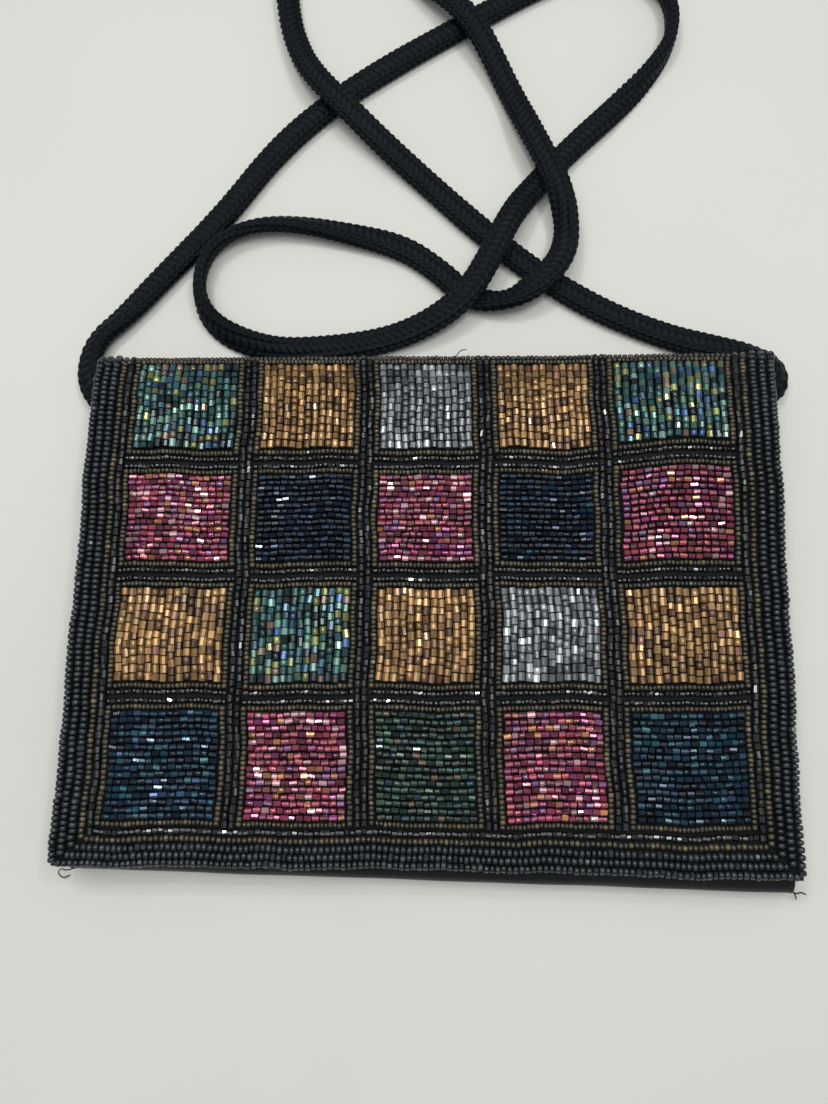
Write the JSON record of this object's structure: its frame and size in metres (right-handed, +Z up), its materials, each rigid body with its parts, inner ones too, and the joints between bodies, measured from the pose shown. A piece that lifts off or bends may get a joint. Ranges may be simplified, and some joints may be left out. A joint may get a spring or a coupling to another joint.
{
  "type": "beaded evening bag",
  "caption": "Flat envelope evening bag lying on its back: a hinged flap of coloured bead squares in a dark lattice over a satin pouch, with a long braided shoulder cord heaped above it.",
  "frame": {"origin": "centre of the bag's footprint (cord left out), at the underside of the pouch back, which lies on the surface", "axes": "+X along the bag's width, to the right seen from the front; +Y from the bottom edge to the top fold; +Z up, out of the beaded face"},
  "size_m": [0.2376, 0.3488, 0.0156],
  "materials": {
    "satin": "smooth black satin with a navy cast",
    "lining": "matt black woven lining",
    "binding": "black grosgrain edge binding",
    "board": "plain greyboard stiffener",
    "wadding": "thin felt interlining",
    "ground": "black bead ground cloth",
    "braid": "black rayon herringbone braid",
    "snap_metal": "nickel-plated press stud",
    "beads_teal": "iridescent teal-green glass two-cut beads",
    "beads_gold": "metallic gold glass two-cut beads",
    "beads_silver": "silver-grey lustre glass two-cut beads",
    "beads_pink": "iridescent magenta-pink glass two-cut beads",
    "beads_navy": "dark navy iridescent glass two-cut beads",
    "beads_green": "dark green iridescent glass two-cut beads",
    "beads_petrol": "dark petrol-blue iridescent glass two-cut beads",
    "beads_bronze": "matt metallic bronze glass seed beads",
    "beads_cut_black": "black glass two-cut beads",
    "beads_seed_black": "opaque blue-black glass seed beads"
  },
  "bodies": {
    "back": {"back_cover": "satin", "back_board": "board", "back_lining": "lining", "bottom_fold": "satin", "gusset_left": "lining", "gusset_right": "lining", "cord": "braid", "cord_anchor_left": "braid", "cord_anchor_right": "braid"},
    "spine": {"spine_cover": "satin", "spine_lining": "lining"},
    "front": {"front_lining": "lining", "front_board": "board", "front_cover": "satin", "mouth_binding": "binding", "snap_socket": "snap_metal"},
    "flap": {"flap_lining": "lining", "flap_padding": "wadding", "flap_ground": "ground", "snap_stud": "snap_metal", "bead_square_r1_c1": "beads_teal", "bead_square_r1_c2": "beads_gold", "bead_square_r1_c3": "beads_silver", "bead_square_r1_c4": "beads_gold", "bead_square_r1_c5": "beads_teal", "bead_square_r2_c1": "beads_pink", "bead_square_r2_c2": "beads_navy", "bead_square_r2_c3": "beads_pink", "bead_square_r2_c4": "beads_navy", "bead_square_r2_c5": "beads_pink", "bead_square_r3_c1": "beads_gold", "bead_square_r3_c2": "beads_teal", "bead_square_r3_c3": "beads_gold", "bead_square_r3_c4": "beads_silver", "bead_square_r3_c5": "beads_gold", "bead_square_r4_c1": "beads_petrol", "bead_square_r4_c2": "beads_pink", "bead_square_r4_c3": "beads_green", "bead_square_r4_c4": "beads_pink", "bead_square_r4_c5": "beads_petrol", "square_outlines_row_1": "beads_bronze", "square_outlines_row_2": "beads_bronze", "square_outlines_row_3": "beads_bronze", "square_outlines_row_4": "beads_bronze", "lattice_column_1": "beads_cut_black", "lattice_column_2": "beads_cut_black", "lattice_column_3": "beads_cut_black", "lattice_column_4": "beads_cut_black", "lattice_row_1": "beads_cut_black", "lattice_row_2": "beads_cut_black", "lattice_row_3": "beads_cut_black", "lattice_row_4": "beads_cut_black", "cut_column_left": "beads_cut_black", "cut_column_right": "beads_cut_black", "bronze_frame": "beads_bronze", "black_border_1": "beads_seed_black", "black_border_2": "beads_seed_black", "black_border_3": "beads_seed_black"}
  },
  "joints": [
    {"name": "spine_fold", "type": "hinge", "parent": "back", "child": "spine", "pos_m": [0, 0.0818, 0.001], "axis": [-1, 0, 0], "range_deg": [0, 39]},
    {"name": "flap_fold", "type": "hinge", "parent": "spine", "child": "flap", "pos_m": [0, 0.0818, 0.0124], "axis": [-1, 0, 0], "range_deg": [0, 130]},
    {"name": "front_mouth", "type": "hinge", "parent": "back", "child": "front", "pos_m": [0, -0.072, 0.0084], "axis": [1, 0, 0], "range_deg": [0, 10], "deforming": ["gusset_left", "gusset_right"]}
  ],
  "couplings": [
    {"joint": "spine_fold", "follows": "flap_fold", "ratio": 0.3},
    {"joint": "front_mouth", "follows": "flap_fold", "ratio": 0.075}
  ]
}
